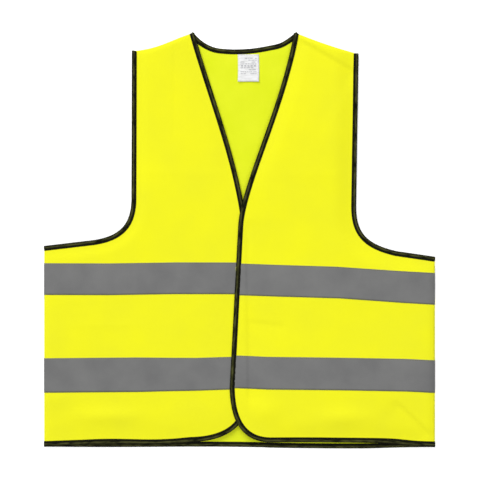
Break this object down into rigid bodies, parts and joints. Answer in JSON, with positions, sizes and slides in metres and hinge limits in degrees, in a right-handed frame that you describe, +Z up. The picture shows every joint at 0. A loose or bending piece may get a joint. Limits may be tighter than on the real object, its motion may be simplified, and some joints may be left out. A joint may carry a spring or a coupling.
{
  "type": "high visibility vest",
  "caption": "Sleeveless fluorescent safety vest laid flat, with bound edges, reflective tapes round the body, a care label and an overlapping hook-and-loop front that folds open.",
  "frame": {"origin": "middle of the flat vest's outline, on the surface it lies on", "axes": "+X towards the wearer's left side, +Y towards the collar, +Z up out of the front"},
  "size_m": [0.6, 0.635, 0.0113],
  "materials": {
    "fluorescent_knit": "matte warp-knitted polyester, fluorescent yellow",
    "reflective_tape": "grey glass-bead reflective tape",
    "edge_binding": "black woven binding tape",
    "hook_and_loop": "yellow nylon hook and loop tape",
    "care_label": "white satin ribbon with grey print lines"
  },
  "bodies": {
    "vest": {"back_panel": "fluorescent_knit", "back_upper_tape": "reflective_tape", "back_lower_tape": "reflective_tape", "back_hem_binding": "edge_binding", "neck_binding": "edge_binding", "right_side_panel": "fluorescent_knit", "right_side_upper_tape": "reflective_tape", "right_side_lower_tape": "reflective_tape", "right_hem_binding": "edge_binding", "left_side_panel": "fluorescent_knit", "left_side_upper_tape": "reflective_tape", "left_side_lower_tape": "reflective_tape", "left_hem_binding": "edge_binding", "right_armhole_binding": "edge_binding", "left_armhole_binding": "edge_binding", "right_side_seam": "fluorescent_knit", "left_side_seam": "fluorescent_knit", "right_shoulder_seam": "fluorescent_knit", "left_shoulder_seam": "fluorescent_knit"},
    "right_flap": {"right_front_flap": "fluorescent_knit", "right_flap_upper_tape": "reflective_tape", "right_flap_lower_tape": "reflective_tape", "right_front_binding": "edge_binding", "loop_pads": "hook_and_loop"},
    "left_flap": {"left_front_flap": "fluorescent_knit", "left_flap_upper_tape": "reflective_tape", "left_flap_lower_tape": "reflective_tape", "left_front_binding": "edge_binding", "hook_pads": "hook_and_loop"},
    "label": {"care_label": "care_label"}
  },
  "joints": [
    {"name": "left_front_opening", "type": "hinge", "parent": "vest", "child": "left_flap", "pos_m": [0.13125, 0, 0.0116], "axis": [-0.1518, 0.9884, 0], "range_deg": [0, 172.5]},
    {"name": "right_front_opening", "type": "hinge", "parent": "vest", "child": "right_flap", "pos_m": [-0.09125, 0, 0.0084], "axis": [-0.0746, -0.9972, 0], "range_deg": [0, 150]},
    {"name": "care_label_flip", "type": "hinge", "parent": "vest", "child": "label", "pos_m": [0.0135, 0.2836, 0.0022], "axis": [-1, 0, 0], "range_deg": [0, 150]}
  ],
  "couplings": [
    {"joint": "right_front_opening", "follows": "left_front_opening", "ratio": 0.8695}
  ]
}
